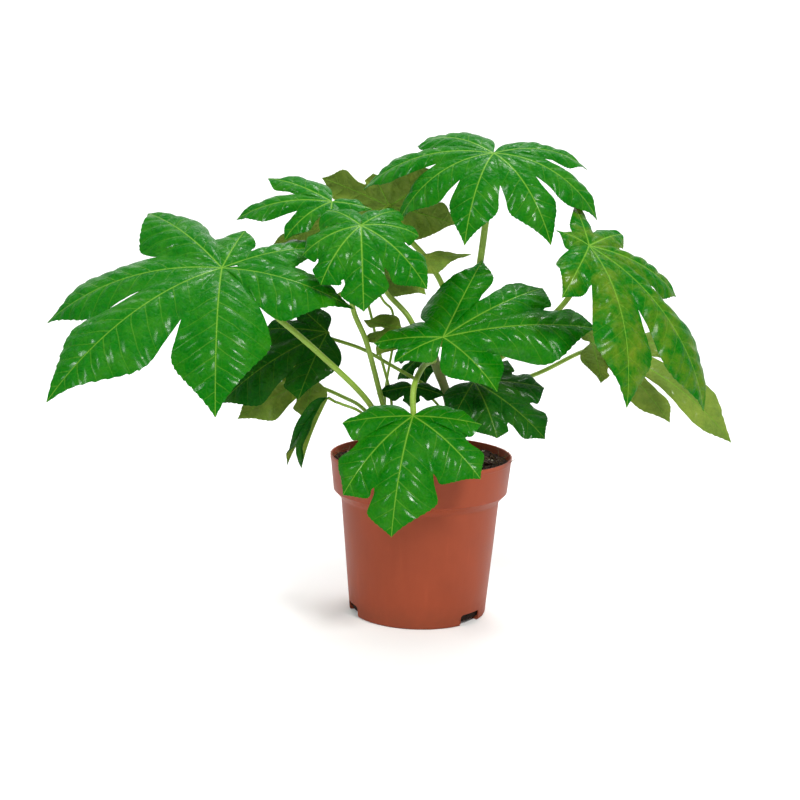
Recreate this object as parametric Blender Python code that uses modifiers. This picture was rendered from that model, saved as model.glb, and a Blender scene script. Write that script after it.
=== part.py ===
"""Potted fatsia: a young plant with hand-shaped leaves in a plain plastic nursery pot.

Origin at the middle of the pot's underside, +Z up, metres. Leaf rows are in millimetres and degrees.
"""
from collections import namedtuple
from math import cos, pi, radians, sin, tan

import bmesh
import bpy
import numpy as np
from mathutils import Euler, Vector

MM = 0.001

# Pot
RIM_RADIUS = 65.0 * MM
COLLAR_FOOT_RADIUS = 62.3 * MM
BODY_TOP_RADIUS = 56.7 * MM
BODY_FOOT_RADIUS = 49.4 * MM
POT_HEIGHT = 115.0 * MM
COLLAR_HEIGHT = 26.0 * MM
COLLAR_STEP = 5.5 * MM
COLLAR_FOOT = POT_HEIGHT - COLLAR_HEIGHT
BODY_TOP = COLLAR_FOOT - COLLAR_STEP
WALL = 1.2 * MM
LIP_BEVEL = 0.4 * MM
STEP_BEVEL = 0.6 * MM
FOOT_CHAMFER = 1.6 * MM
FOOT_WIDTH = 4.5 * MM
FOOT_RISE = 1.2 * MM
FLOOR = 1.2 * MM
FLOOR_TOP = FOOT_RISE + FLOOR
CENTRE_PAD_RADIUS = 13.0 * MM
NOTCH_ANGLES = (-41.0, 79.0, 199.0)
NOTCH_WIDTH = 20.0 * MM
NOTCH_REACH = 7.0 * MM
NOTCH_HEIGHT = 8.0 * MM
DRAIN_COUNT = 6
DRAIN_RADIUS = 3.5 * MM
DRAIN_CIRCLE = 29.0 * MM
DRAIN_CUTTER_DEPTH = 6.0 * MM
DRAIN_SIDES = 12
ROUND_STEPS = 40

# Soil
SOIL_TOP = 108.0 * MM
SOIL_CROWN = 1.5 * MM
SOIL_EDGE_RISE = 2.5 * MM
SOIL_EDGE_BEVEL = 1.0 * MM
SOIL_EDGE_WIDTH = 2.5 * MM
CLEARANCE = 0.3 * MM
STEM_HOLE_DEPTH = 40.0 * MM
STEM_HOLE_SIDES = 16

# Stems: routes in millimetres, from the soil up
STEM_RADIUS = 3.2 * MM
SIDE_STEM_RADIUS = 4.0 * MM
STEM_SIDES = 8
MAIN_STEM = ((25, 8, 90), (25, 8, 118), (18, 4, 155), (8, 0, 182), (3, 0, 198))
SIDE_STEM = ((-19, 4, 90), (-19, 4, 112), (-18, 3, 128), (-17, 3, 136))

# Blades and petioles: seam gap, bend and stub are in millimetres
BLADE_THICKNESS = 0.8 * MM
WEB_ROWS = 2
FREE_ROWS = 8
SEAM_GAP = 1.6
PETIOLE_SIDES = 6
PETIOLE_BEND = 7.0
PETIOLE_STUB = 2.5

LEAF_GREEN = (0.0, 0.25, 0.005)
DARK_GREEN = (0.004, 0.10, 0.006)
OLIVE_GREEN = (0.09, 0.16, 0.03)
PETIOLE_GREEN = (0.16, 0.36, 0.03)

# One leaf: junction of blade and petiole (mm), heading, pitch and roll (degrees), how steeply its lobes
# start above the blade's plane, lobes from right to left as (angle, length in mm, droop), and the
# petiole: its radius (mm), the height on its stem where it starts, and the points that it passes.
Leaf = namedtuple("Leaf", "name colour junction tilt rise lobes stem start radius route shape",
                  defaults=({},))

LEAVES = (
    Leaf("left", LEAF_GREEN, (-139, -30, 247), (190, -5, -28), 12,
         ((-165, 82, 30), (-115, 48, 20), (-62, 101, 30), (0, 130, 55), (36, 157, 50), (82, 125, 65),
          (150, 98, 35)),
         "side", 123, 2.2, ((-39, -14, 155), (-71, -26, 188), (-107, -38, 220)),
         {"breadth": 0.26, "sinuses": (0.43, 0.86, 0.43, 0.4, 0.43, 0.43)}),
    Leaf("top", LEAF_GREEN, (45, 5, 328), (262, -30, 0), 12,
         ((-126, 80, 55), (-88, 103, 60), (-60, 87, 75), (-12, 82, 75), (36, 88, 75), (72, 92, 75),
          (106, 74, 60)),
         "main", 196, 2.6, ((25, 12, 209), (36, 19, 233), (39, 18, 253), (42, 11, 286)), {"breadth": 0.23}),
    Leaf("middle", LEAF_GREEN, (-45, -35, 278), (268, -35, 0), 10,
         ((-133, 36, 40), (-66, 46, 55), (-30, 54, 60), (5, 67, 75), (50, 67, 60), (95, 42, 50),
          (136, 36, 40)),
         "side", 134, 2.0, ((-28, -9, 152), (-40, -12, 195), (-50, -20, 221), (-51, -28, 250)),
         {"breadth": 0.3, "sinuses": (0.8, 0.8, 0.78, 0.6, 0.6, 0.8)}),
    Leaf("right", LEAF_GREEN, (109, -35, 268), (330, -38, 15), 12,
         ((-150, 25, 30), (-67, 53, 60), (-28, 124, 60), (6, 142, 60), (42, 80, 45), (88, 44, 30),
          (146, 40, 20)),
         "main", 176, 2.1, ((42, 14, 176), (76, 10, 201), (101, -8, 232))),
    Leaf("upper_left", LEAF_GREEN, (-67, 10, 292), (185, -5, -35), 10,
         ((-42, 60, 30), (-9, 74, 50), (31, 46, 60), (83, 32, 40), (159, 30, 25)),
         "side", 127, 1.1, ((-23, 14, 155), (-33, 24, 189), (-40, 34, 215), (-54, 30, 259))),
    Leaf("back_top", OLIVE_GREEN, (-27, 60, 288), (150, 0, 70), 0,
         ((-15, 45, 15), (25, 56, 15), (75, 28, 15), (150, 62, 15), (188, 60, 15)),
         "main", 188, 2.2, ((15, 30, 224), (2, 37, 250), (-15, 42, 268)), {"breadth": 0.34, "sinus": 0.6}),
    Leaf("behind_middle", OLIVE_GREEN, (-33, -8, 245), (180, -25, -20), 0,
         ((-120, 36, 20), (-60, 36, 20), (0, 38, 20), (60, 36, 20), (121, 50, 25), (176, 66, 25)),
         "main", 192, 2.1, ((-11, 6, 212), (-26, 8, 228))),
    Leaf("centre", LEAF_GREEN, (12, -45, 205), (350, -5, 40), 5,
         ((-32, 54, 50), (24, 112, 30), (50, 92, 25), (80, 79, 10), (190, 48, 25), (214, 38, 40)),
         "main", 193, 2.1, ((9, -20, 197),),
         {"breadth": 0.3, "base": 0.3, "sinuses": (0.5, 0.8, 0.5, 0.35, 0.75)}),
    Leaf("over_rim", LEAF_GREEN, (-7, -58, 153), (262, -35, 0), 10,
         ((-78, 48, 20), (-35, 75, 50), (-4, 91, 60), (50, 67, 45), (84, 47, 20)),
         "main", 184, 2.2, ((-1, -25, 181), (-7, -46, 169)),
         {"breadth": 0.33, "sinuses": (0.86, 0.74, 0.62, 0.86)}),
    Leaf("low_right", DARK_GREEN, (35, -25, 172), (340, -15, 30), 5,
         ((-90, 42, 40), (-45, 48, 40), (-14, 65, 35), (30, 51, 25), (72, 36, 15)),
         "main", 142, 1.8, ((27, -12, 155),), {"breadth": 0.36, "sinus": 0.72}),
    Leaf("far_right", OLIVE_GREEN, (122, 25, 195), (330, -22, 35), 8,
         ((-46, 36, 30), (-14, 84, 35), (6, 128, 55), (37, 74, 30), (75, 38, 20), (140, 20, 20)),
         "main", 150, 1.7, ((48, 12, 162), (81, 15, 172), (110, 22, 186)), {"breadth": 0.3}),
    Leaf("left_low", DARK_GREEN, (-69, 15, 199), (195, -25, -45), 8,
         ((-75, 38, 20), (-38, 50, 30), (0, 95, 45), (41, 56, 30)),
         "main", 160, 1.4, ((-3, 3, 167), (-25, 4, 179), (-44, 5, 189)),
         {"breadth": 0.32, "sinus": 0.6}),
    Leaf("left_lowest", OLIVE_GREEN, (-79, 30, 163), (195, -15, -40), 5,
         ((-45, 45, 20), (9, 64, 25), (60, 36, 20)),
         "side", 123, 1.5, ((-42, 8, 145), (-58, 24, 151)), {"breadth": 0.34}),
    Leaf("folded", DARK_GREEN, (-67, -5, 155), (215, -60, 0), 0,
         ((-26, 61, 20), (-6, 54, 20)),
         "side", 117, 1.1, ((-41, -6, 143), (-57, -8, 151)), {"breadth": 0.16, "sinus": 0.7, "fold": 66}),
    Leaf("inner_left", OLIVE_GREEN, (-16, -8, 206), (190, -20, -50), 0,
         ((-42, 30, 20), (-8, 28, 20), (26, 27, 20)),
         "main", 188, 1.0, ((-8, -3, 199),), {"breadth": 0.34}),
    Leaf("inner_back", DARK_GREEN, (1, 27, 184), (235, -50, 0), 0,
         ((-80, 27, 20), (-36, 28, 20), (22, 26, 20)),
         "main", 172, 1.0, ((14, 20, 172),), {"breadth": 0.4}),
    Leaf("inner_low", DARK_GREEN, (-7, -8, 165), (262, -40, 0), 0,
         ((-80, 27, 20), (0, 18, 20), (80, 24, 20)),
         "main", 148, 1.0, ((4, -6, 158),), {"breadth": 0.3}),
    Leaf("back_left", OLIVE_GREEN, (-66, 45, 276), (190, 0, 50), 0,
         ((-20, 50, 20), (25, 32, 20), (70, 26, 20)),
         "side", 119, 1.0, ((-27, 26, 150), (-22, 39, 190), (-23, 40, 212), (-31, 39, 222), (-47, 42, 251))),
)

SHAPE = {"breadth": 0.25, "sinus": 0.43, "base": 0.12, "bulge": 1.8, "taper": 0.3, "cup": 0.3,
         "fold": 0.0, "tooth": 0.025}


def clear_scene():
    for old in list(bpy.data.objects):
        bpy.data.objects.remove(old, do_unlink=True)


def collection(name):
    group = bpy.data.collections.new(name)
    bpy.context.scene.collection.children.link(group)
    return group


def material(name, colour, roughness):
    new = bpy.data.materials.new(name)
    new.use_nodes = True
    shader = new.node_tree.nodes["Principled BSDF"]
    shader.inputs["Base Color"].default_value = (*colour, 1.0)
    shader.inputs["Roughness"].default_value = roughness
    shader.inputs["Metallic"].default_value = 0.0
    return new


def add(name, mesh, group, finish=None):
    new = bpy.data.objects.new(name, mesh)
    group.objects.link(new)
    if finish:
        mesh.materials.append(finish)
    return new


def cut(target, cutter):
    cutter.hide_render = True
    cutter.display_type = 'WIRE'
    modifier = target.modifiers.new(f"cut {cutter.name}", 'BOOLEAN')
    modifier.operation = 'DIFFERENCE'
    modifier.object = cutter


def shape_of(leaf, key):
    return leaf.shape.get(key, SHAPE[key])


# A leaf's blade, in its own frame: x along the heading, y to the left, z up from the upper face.

def lobe_point(leaf, lobe, x, y):
    """Places flat lobe coordinates (mm) on the lobe's arched, drooping midrib."""
    angle, length, droop = radians(lobe[0]), lobe[1], radians(lobe[2])
    rise = radians(leaf.rise)
    slope = rise - droop * x / length
    ahead = length / droop * (sin(rise) - np.sin(slope))
    above = length / droop * (np.cos(slope) - cos(rise))
    fold = radians(shape_of(leaf, "fold"))
    half_width = shape_of(leaf, "breadth") * length
    lift = np.abs(y) * sin(fold) - shape_of(leaf, "cup") * y * y / half_width
    ahead = ahead - lift * np.sin(slope)
    above = above + lift * np.cos(slope)
    across = y * cos(fold)
    return np.stack([ahead * cos(angle) - across * sin(angle),
                     ahead * sin(angle) + across * cos(angle), above], axis=-1)


def cubic(points, u):
    u = u[:, None]
    a, b, c, d = (np.array(point, dtype=float) for point in points)
    return (1 - u) ** 3 * a + 3 * (1 - u) ** 2 * u * b + 3 * (1 - u) * u ** 2 * c + u ** 3 * d


def lobe_edge(leaf, index, side):
    """Outline of one side of a lobe in flat coordinates, and the lobe next to it, if any."""
    angle, length = leaf.lobes[index][:2]
    beside = index + side
    neighbour = leaf.lobes[beside] if 0 <= beside < len(leaf.lobes) else None
    if neighbour:
        half_angle = radians(abs(neighbour[0] - angle) / 2)
        between = min(index, beside)
        reach = leaf.shape["sinuses"][between] if "sinuses" in leaf.shape else shape_of(leaf, "sinus")
        depth = min(reach * (length + neighbour[1]) / 2,
                    0.86 * min(length, neighbour[1]))
    else:
        basal_gap = 360 - (leaf.lobes[-1][0] - leaf.lobes[0][0])
        half_angle = radians(min(55, basal_gap / 2 - 4))
        depth = shape_of(leaf, "base") * length
    sinus = np.array([depth * cos(half_angle), depth * sin(half_angle)])
    seam = sinus * np.linspace(0, 1, WEB_ROWS + 1)[:-1, None]
    width = shape_of(leaf, "breadth") * length
    reach = length - sinus[0]
    along = np.linspace(0, 1, FREE_ROWS + 1)
    margin = cubic((sinus, (sinus[0] + 0.3 * reach, shape_of(leaf, "bulge") * width),
                    (sinus[0] + 0.66 * reach, shape_of(leaf, "taper") * width), (length, 0)), along)
    margin[1:-1:2, 1] += shape_of(leaf, "tooth") * length * (1.2 - along[1:-1:2])
    if neighbour:
        notch = SEAM_GAP * np.clip(along * 6, 0, 1)
        margin[:, 1] = np.minimum(margin[:, 1], np.maximum(margin[:, 0] * tan(half_angle) - notch, 0))
    edge = np.concatenate([seam, margin])
    edge[:, 1] *= side
    return edge, neighbour


def lobe_columns(leaf, index):
    """Right edge, midrib and left edge of a lobe, row by row, in the blade's frame (mm)."""
    lobe = leaf.lobes[index]
    edges = {side: lobe_edge(leaf, index, side) for side in (-1, 1)}
    web_end = 0.8 * min(edge[WEB_ROWS, 0] for edge, _ in edges.values())
    rib = np.concatenate([np.linspace(0, web_end, WEB_ROWS + 1)[:-1],
                          np.linspace(web_end, lobe[1], FREE_ROWS + 1)])
    columns = [None, lobe_point(leaf, lobe, rib, 0 * rib), None]
    for side, (edge, neighbour) in edges.items():
        own = lobe_point(leaf, lobe, edge[:, 0], edge[:, 1])
        if neighbour:
            turn = radians(lobe[0] - neighbour[0])
            x = edge[:, 0] * cos(turn) - edge[:, 1] * sin(turn)
            y = edge[:, 0] * sin(turn) + edge[:, 1] * cos(turn)
            other = lobe_point(leaf, neighbour, x, y)
            past_sinus = (np.arange(len(edge)) - WEB_ROWS) / (0.6 * FREE_ROWS)
            share = np.clip(1 - past_sinus, 0, 1)
            share = 0.5 * (share * share * (3 - 2 * share))[:, None]
            own = own * (1 - share) + other * share
        columns[1 + side] = own
    return columns


def blade(leaf, group, finish):
    """Lobe grids welded along their seams, split into triangles and given the leaf's thickness."""
    form = bmesh.new()
    rows = WEB_ROWS + FREE_ROWS
    for index in range(len(leaf.lobes)):
        columns = lobe_columns(leaf, index)
        grid = bmesh.ops.create_grid(form, x_segments=rows, y_segments=2, size=1.0)["verts"]
        for vert in grid:
            row = round((vert.co.x + 1) / 2 * rows)
            vert.co = Vector(columns[round(vert.co.y) + 1][row]) * MM
    bmesh.ops.remove_doubles(form, verts=form.verts, dist=0.00002)
    bmesh.ops.triangulate(form, faces=form.faces)
    bmesh.ops.recalc_face_normals(form, faces=form.faces)
    if sum(face.normal.z * face.calc_area() for face in form.faces) < 0:
        bmesh.ops.reverse_faces(form, faces=form.faces)
    mesh = bpy.data.meshes.new(f"blade_{leaf.name}")
    form.to_mesh(mesh)
    form.free()
    new = add(mesh.name, mesh, group, finish)
    heading, pitch, roll = (radians(turn) for turn in leaf.tilt)
    new.location = Vector(leaf.junction) * MM
    new.rotation_euler = Euler((roll, -pitch, heading))
    thickness = new.modifiers.new("thickness", 'SOLIDIFY')
    thickness.thickness = BLADE_THICKNESS
    thickness.offset = -1.0
    thickness.use_even_offset = False
    return new


# Stems and petioles: round curves with filled ends

def smooth_route(points, steps):
    """Catmull-Rom points through a route."""
    route = [Vector(point) for point in points]
    route = [2 * route[0] - route[1]] + route + [2 * route[-1] - route[-2]]
    smooth = []
    for a, b, c, d in zip(route, route[1:], route[2:], route[3:]):
        for step in range(steps):
            t = step / steps
            smooth.append(0.5 * (2 * b + (c - a) * t + (2 * a - 5 * b + 4 * c - d) * t * t
                                 + (3 * b - a - 3 * c + d) * t ** 3))
    return smooth + [route[-2]]


def round_stalk(name, points, radius, sides, group, finish):
    """Round tube with filled ends along points (mm)."""
    curve = bpy.data.curves.new(name, 'CURVE')
    curve.dimensions = '3D'
    curve.bevel_depth = radius
    curve.bevel_resolution = sides // 2 - 2
    curve.use_fill_caps = True
    spline = curve.splines.new('POLY')
    spline.points.add(len(points) - 1)
    for point, position in zip(spline.points, points):
        point.co = (*(Vector(position) * MM), 1.0)
    return add(name, curve, group, finish)


def stem_at(route, height):
    """Point (mm) on a stem's middle line at a height (mm), and the stem's direction there."""
    points = smooth_route(route, 3)
    for low, high in zip(points, points[1:]):
        if high.z >= height:
            return low.lerp(high, (height - low.z) / (high.z - low.z)), (high - low).normalized()


def petiole(leaf, group, finish):
    stem, stem_radius = (MAIN_STEM, STEM_RADIUS) if leaf.stem == "main" else (SIDE_STEM, SIDE_STEM_RADIUS)
    heading, pitch, roll = (radians(turn) for turn in leaf.tilt)
    up = Euler((roll, -pitch, heading)).to_matrix() @ Vector((0, 0, 1))
    junction = Vector(leaf.junction)
    top = junction - up * (BLADE_THICKNESS + CLEARANCE) / MM
    bend = top - up * PETIOLE_BEND
    root, growth = stem_at(stem, leaf.start)
    away = Vector((*(Vector(leaf.route[0]) - root).xy, 0))
    away = (away - growth * away.dot(growth)).normalized()
    foot = root + away * ((stem_radius + CLEARANCE) / MM)
    stub = foot + away * PETIOLE_STUB
    points = [foot] + smooth_route([stub, *leaf.route, bend], 3) + [top]
    return round_stalk(f"petiole_{leaf.name}", points, leaf.radius * MM, PETIOLE_SIDES, group,
                       finish)


def turned(name, profile, group, finish):
    mesh = bpy.data.meshes.new(name)
    edges = [(index, index + 1) for index in range(len(profile) - 1)]
    mesh.from_pydata([(radius, 0, height) for radius, height in profile], edges, [])
    new = add(name, mesh, group, finish)
    screw = new.modifiers.new("turned", 'SCREW')
    screw.steps = ROUND_STEPS
    screw.render_steps = ROUND_STEPS
    screw.use_merge_vertices = True
    screw.merge_threshold = 0.00001
    return new


def inner_wall(height):
    """Inside radius of the pot at a height."""
    if height >= COLLAR_FOOT:
        share = (height - COLLAR_FOOT) / COLLAR_HEIGHT
        return COLLAR_FOOT_RADIUS + share * (RIM_RADIUS - COLLAR_FOOT_RADIUS) - WALL
    if height >= BODY_TOP:
        share = (height - BODY_TOP) / COLLAR_STEP
        return BODY_TOP_RADIUS + share * (COLLAR_FOOT_RADIUS - BODY_TOP_RADIUS) - WALL
    return BODY_FOOT_RADIUS + height / BODY_TOP * (BODY_TOP_RADIUS - BODY_FOOT_RADIUS) - WALL


def pot(group, cutters, finish):
    foot_radius = BODY_FOOT_RADIUS - FOOT_CHAMFER
    profile = [
        (0, FLOOR_TOP),
        (inner_wall(FLOOR_TOP), FLOOR_TOP),
        (inner_wall(BODY_TOP - STEP_BEVEL), BODY_TOP - STEP_BEVEL),
        (inner_wall(COLLAR_FOOT), COLLAR_FOOT + LIP_BEVEL),
        (RIM_RADIUS - WALL, POT_HEIGHT - LIP_BEVEL),
        (RIM_RADIUS - WALL + LIP_BEVEL, POT_HEIGHT),
        (RIM_RADIUS - LIP_BEVEL, POT_HEIGHT),
        (RIM_RADIUS, POT_HEIGHT - LIP_BEVEL),
        (COLLAR_FOOT_RADIUS, COLLAR_FOOT + 2 * STEP_BEVEL),
        (COLLAR_FOOT_RADIUS - STEP_BEVEL, COLLAR_FOOT),
        (BODY_TOP_RADIUS, BODY_TOP),
        (BODY_FOOT_RADIUS, FOOT_CHAMFER),
        (foot_radius, 0),
        (foot_radius - FOOT_WIDTH, 0),
        (foot_radius - FOOT_WIDTH, FOOT_RISE),
        (CENTRE_PAD_RADIUS, FOOT_RISE),
        (CENTRE_PAD_RADIUS, 0),
        (0, 0),
    ]
    new = turned("pot", profile, group, finish)
    for number, angle in enumerate(NOTCH_ANGLES):
        place = Vector((cos(radians(angle)), sin(radians(angle)), 0)) * BODY_FOOT_RADIUS
        bpy.ops.mesh.primitive_cube_add(size=1.0, location=place, rotation=(0, 0, radians(angle + 90)))
        cutter = bpy.context.object
        cutter.name = f"drain notch cutter {number}"
        cutter.dimensions = (NOTCH_WIDTH, 2 * NOTCH_REACH, 2 * NOTCH_HEIGHT)
        move_to(cutter, cutters)
        cut(new, cutter)
    for number in range(DRAIN_COUNT):
        angle = 2 * pi * (number + 0.5) / DRAIN_COUNT
        place = (DRAIN_CIRCLE * cos(angle), DRAIN_CIRCLE * sin(angle), 0)
        bpy.ops.mesh.primitive_cylinder_add(vertices=DRAIN_SIDES, radius=DRAIN_RADIUS,
                                            depth=DRAIN_CUTTER_DEPTH, location=place)
        cutter = bpy.context.object
        cutter.name = f"drain hole cutter {number}"
        move_to(cutter, cutters)
        cut(new, cutter)
    return new


def move_to(item, group):
    for holder in list(item.users_collection):
        holder.objects.unlink(item)
    group.objects.link(item)


def soil(group, cutters, finish):
    """Filling of the pot, a little lower in the middle ring, with a plain hole for each stem."""
    base = FLOOR_TOP + CLEARANCE
    edge_height = SOIL_TOP + SOIL_EDGE_RISE
    gap = 1.5 * CLEARANCE
    below_step = BODY_TOP - STEP_BEVEL
    profile = [
        (0, SOIL_TOP + SOIL_CROWN),
        (0.45 * RIM_RADIUS, SOIL_TOP),
        (0.8 * RIM_RADIUS, SOIL_TOP + 0.4 * SOIL_EDGE_RISE),
        (inner_wall(edge_height) - SOIL_EDGE_WIDTH, edge_height),
        (inner_wall(edge_height) - gap, edge_height - SOIL_EDGE_BEVEL),
        (inner_wall(COLLAR_FOOT) - gap, COLLAR_FOOT + 2 * LIP_BEVEL),
        (inner_wall(below_step) - gap, below_step - CLEARANCE),
        (inner_wall(base) - gap, base),
        (0, base),
    ]
    new = turned("soil", profile, group, finish)
    for name, route, radius in (("main", MAIN_STEM, STEM_RADIUS), ("side", SIDE_STEM, SIDE_STEM_RADIUS)):
        middle = Vector(route[0]) * MM + Vector((0, 0, STEM_HOLE_DEPTH / 2 - CLEARANCE))
        bpy.ops.mesh.primitive_cylinder_add(vertices=STEM_HOLE_SIDES, radius=radius + 3 * CLEARANCE,
                                            depth=STEM_HOLE_DEPTH, location=middle)
        cutter = bpy.context.object
        cutter.name = f"{name} stem hole cutter"
        move_to(cutter, cutters)
        cut(new, cutter)
    return new


def main():
    clear_scene()
    parts = collection("potted_fatsia")
    cutters = collection("cutters")
    pot(parts, cutters, material("terracotta plastic", (0.31, 0.068, 0.03), 0.45))
    soil(parts, cutters, material("dark peat", (0.012, 0.006, 0.004), 0.95))
    bark = material("green stem", PETIOLE_GREEN, 0.5)
    round_stalk("stem_main", smooth_route(MAIN_STEM, 3), STEM_RADIUS, STEM_SIDES, parts, bark)
    round_stalk("stem_side", smooth_route(SIDE_STEM, 3), SIDE_STEM_RADIUS, STEM_SIDES, parts, bark)
    for leaf in LEAVES:
        blade(leaf, parts, material(f"blade {leaf.name}", leaf.colour, 0.3))
        petiole(leaf, parts, material(f"petiole {leaf.name}", PETIOLE_GREEN, 0.45))


main()
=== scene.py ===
from collections import namedtuple
from math import cos, pi, radians, sin, sqrt, tan
from random import Random

import bmesh
import bpy
import numpy as np
from bpy.props import FloatProperty, FloatVectorProperty, IntProperty, PointerProperty
from mathutils import Euler, Matrix, Vector, noise


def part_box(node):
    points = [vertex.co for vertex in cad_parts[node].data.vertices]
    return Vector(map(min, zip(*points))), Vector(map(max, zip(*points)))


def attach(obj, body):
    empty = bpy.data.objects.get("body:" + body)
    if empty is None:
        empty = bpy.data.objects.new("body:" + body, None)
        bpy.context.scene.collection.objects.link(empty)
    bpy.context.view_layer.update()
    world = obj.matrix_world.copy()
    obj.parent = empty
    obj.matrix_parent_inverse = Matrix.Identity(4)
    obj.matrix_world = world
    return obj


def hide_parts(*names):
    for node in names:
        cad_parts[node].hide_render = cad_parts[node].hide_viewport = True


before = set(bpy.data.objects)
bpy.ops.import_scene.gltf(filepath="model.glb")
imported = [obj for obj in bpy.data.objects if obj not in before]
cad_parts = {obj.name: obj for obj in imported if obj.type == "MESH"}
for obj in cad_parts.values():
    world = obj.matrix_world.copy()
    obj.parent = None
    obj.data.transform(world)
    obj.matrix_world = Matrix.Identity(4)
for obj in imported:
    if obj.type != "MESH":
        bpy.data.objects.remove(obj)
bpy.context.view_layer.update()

bl_info = {
    "name": "Potted fatsia",
    "version": (1, 0, 0),
    "blender": (4, 5, 0),
    "location": "3D View > Sidebar > Fatsia",
    "description": "A young fatsia with glossy hand-shaped leaves in a plain plastic nursery pot",
    "category": "Object",
}

MM = 0.001

# Pot and soil
RIM_RADIUS, POT_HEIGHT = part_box("pot")[1][0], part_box("pot")[1][2]
COLLAR_FOOT_RADIUS = 62.3 * MM
BODY_TOP_RADIUS = 56.7 * MM
BODY_FOOT_RADIUS = 49.4 * MM
COLLAR_HEIGHT = 26.0 * MM
COLLAR_FOOT = POT_HEIGHT - COLLAR_HEIGHT
COLLAR_STEP = 5.5 * MM
BODY_TOP = COLLAR_FOOT - COLLAR_STEP
WALL = 1.2 * MM
LIP_BAND = 3.2 * MM
STEP_ROUND = 0.9 * MM
STEP_BEVEL = 0.6 * MM
FOOT_ROUND = 1.6 * MM
FOOT_WIDTH = 4.5 * MM
FOOT_RISE = 1.2 * MM
FLOOR_TOP = 2.4 * MM
FLOOR_ROUND = 1.0 * MM
CENTRE_PAD_RADIUS = 13.0 * MM
NOTCH_ANGLES = (-41.0, 79.0, 199.0)
NOTCH_SIZE = (20.0 * MM, 14.0 * MM, 16.0 * MM)
NOTCH_ROUND = 2.5 * MM
DRAIN_COUNT = 6
DRAIN_RADIUS = 3.5 * MM
DRAIN_CIRCLE = 29.0 * MM
DRAIN_CUTTER_DEPTH = 6.0 * MM
DRAIN_SIDES = 32
POT_SHARP = 30.0
CLEARANCE = 0.3 * MM
SOIL_TOP = 108.0 * MM
SOIL_ROWS, SOIL_COLUMNS = 64, 220
SOIL_EDGE_RISE = 1.5 * MM
SOIL_EDGE_START, SOIL_EDGE_WIDTH = 0.55, 0.4
SKIRT_GAP = 1.1 * MM
STEM_MOUND, STEM_MOUND_REACH = 2.5 * MM, 7 * MM
LUMPS = ((14, 0.5), (5, 0.35), (2, 0.25))
RIM_FIBRES = 26

# Stems: routes and radii in millimetres, from the soil up
MAIN_STEM = ((25, 8, 90), (25, 8, 118), (18, 4, 155), (8, 0, 182), (3, 0, 198))
SIDE_STEM = ((-19, 4, 90), (-19, 4, 112), (-18, 3, 128), (-17, 3, 136))
STEM_RADII = {"main": 3.2, "side": 4.0}

# Petioles, in millimetres: how far the ends sink into stem and blade, and the straight ends
FOOT_SINK = 0.6
TOP_SINK = 0.35
PETIOLE_BEND = 7.0
PETIOLE_STUB = 3.4

# Blades: distances in millimetres, teeth and rounding as shares of a lobe's length
SEAM_GAP = 1.6
FURTHEST_SINUS = 0.86
WIDEST_BASE = 55
TOOTH_RISE = 0.72
TOOTH_DEPTH = 0.009
TOOTH_LEAN = 0.006
SHOULDER = 0.05
MIDRIB_GROOVE = 0.45 * MM
GROOVE_WIDTH = 1.4
VEIN_STEP = 12.0
VEIN_LEAN = 0.8
VEIN_CURVE = 0.006

# One leaf: junction of blade and petiole (mm), heading, pitch and roll (degrees), how steeply its
# lobes start above the blade's plane, lobes from right to left as (angle, length in mm, droop), the
# petiole's stem, starting height, radius and route (mm), and what differs from SHAPE.
Leaf = namedtuple("Leaf", "name finish junction tilt rise lobes stem start radius route shape",
                  defaults=({},))

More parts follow.
